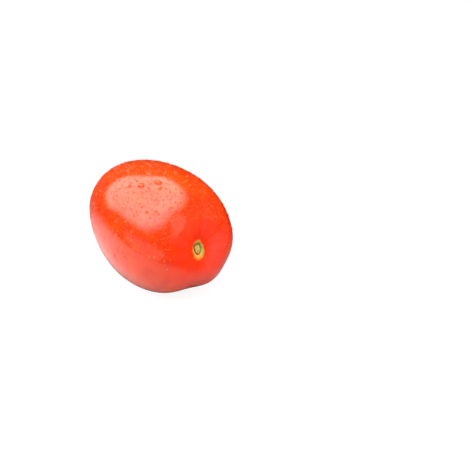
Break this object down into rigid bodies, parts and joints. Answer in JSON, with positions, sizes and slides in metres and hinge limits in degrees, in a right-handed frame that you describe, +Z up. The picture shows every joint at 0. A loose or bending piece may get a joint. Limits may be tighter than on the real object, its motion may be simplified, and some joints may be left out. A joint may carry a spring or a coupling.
{
  "type": "plum tomato",
  "caption": "Ripe plum tomato without its calyx, lying on its side: egg-shaped red fruit with lobed shoulders, a corky stem scar and a small flat spot underneath.",
  "frame": {"origin": "on the surface that the fruit lies on, under the middle of its bounding box", "axes": "+Z up, +X towards the stem end, +Y to the left when looking along +X"},
  "size_m": [0.073, 0.0538, 0.0535],
  "materials": {
    "skin": "smooth waxy red skin, glossy, slightly translucent",
    "water": null
  },
  "bodies": {
    "root": {"tomato": "skin"}
  },
  "joints": []
}
